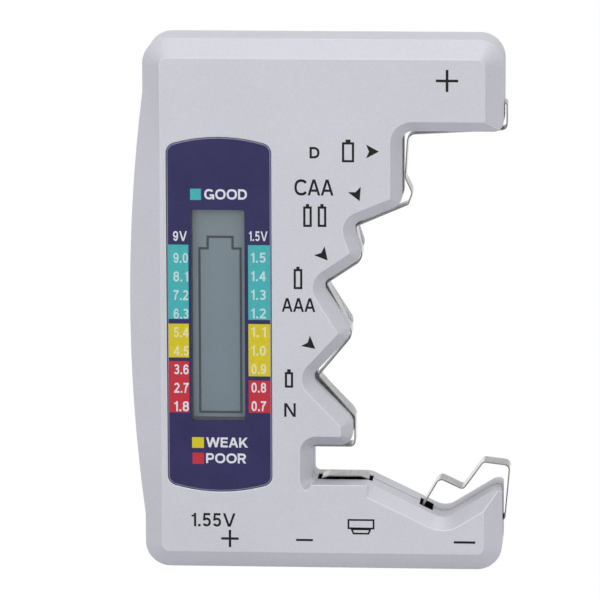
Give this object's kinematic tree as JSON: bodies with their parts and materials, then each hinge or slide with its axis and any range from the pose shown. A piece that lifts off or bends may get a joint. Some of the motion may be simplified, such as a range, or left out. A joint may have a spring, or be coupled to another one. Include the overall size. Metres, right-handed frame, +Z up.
{
  "type": "battery tester",
  "caption": "Hand-held battery tester: a C-shaped case with a printed gauge window, a stepped contact mouth for round cells, a button-cell slot and contact plates in the base.",
  "frame": {"origin": "middle of the case's nominal width on the base, in the parting plane of the two shells", "axes": "+Z up, -Y out of the printed face, +X towards the open side of the mouth"},
  "size_m": [0.0709, 0.0156, 0.1],
  "materials": {
    "case_silver": "silver-tinted moulded plastic, satin",
    "window_indigo": "clear plate printed dark indigo on its back",
    "tape_black": "double-sided tape",
    "frame_white": "moulded",
    "polarizer": "grey-green film",
    "gauge_glass": "thin float glass",
    "reflector": "matt foil",
    "zebra_rubber": "silicone rubber",
    "board_green": "solder-masked laminate",
    "epoxy_black": "epoxy",
    "ceramic_tan": "ceramic",
    "screw_steel": "zinc plated",
    "contact_nickel": "nickel-plated spring strip",
    "lead_red": "insulated wire",
    "lead_black": "insulated wire",
    "lead_yellow": "insulated wire"
  },
  "bodies": {
    "case": {"front_shell": "case_silver", "rear_shell": "case_silver", "display_window": "window_indigo", "window_adhesive": "tape_black", "lcd_frame": "frame_white", "lcd_front_polarizer": "polarizer", "lcd_front_glass": "gauge_glass", "lcd_rear_glass": "gauge_glass", "lcd_reflector": "reflector", "zebra_connector": "zebra_rubber", "circuit_board": "board_green", "chip_cover": "epoxy_black", "chip_resistors": "epoxy_black", "chip_capacitors": "ceramic_tan", "case_screws": "screw_steel", "board_screws": "screw_steel", "positive_contact_strip": "contact_nickel", "negative_terminal": "contact_nickel", "button_terminal": "contact_nickel", "nine_volt_positive_contact": "contact_nickel", "nine_volt_negative_contact": "contact_nickel", "positive_lead": "lead_red", "negative_lead": "lead_black", "button_lead": "lead_yellow", "nine_volt_positive_lead": "lead_red", "nine_volt_negative_lead": "lead_black"},
    "negative_spring": {"negative_spring": "contact_nickel"},
    "button_cell_spring": {"button_cell_spring": "contact_nickel"}
  },
  "joints": [
    {"name": "negative_spring_press", "type": "slide", "parent": "case", "child": "negative_spring", "axis": [0, 0, -1], "range_m": [0, 0.0025], "stiffness_N_per_m": 600},
    {"name": "button_cell_spring_press", "type": "slide", "parent": "case", "child": "button_cell_spring", "axis": [0, 0, -1], "range_m": [0, 0.0003], "stiffness_N_per_m": 600}
  ]
}
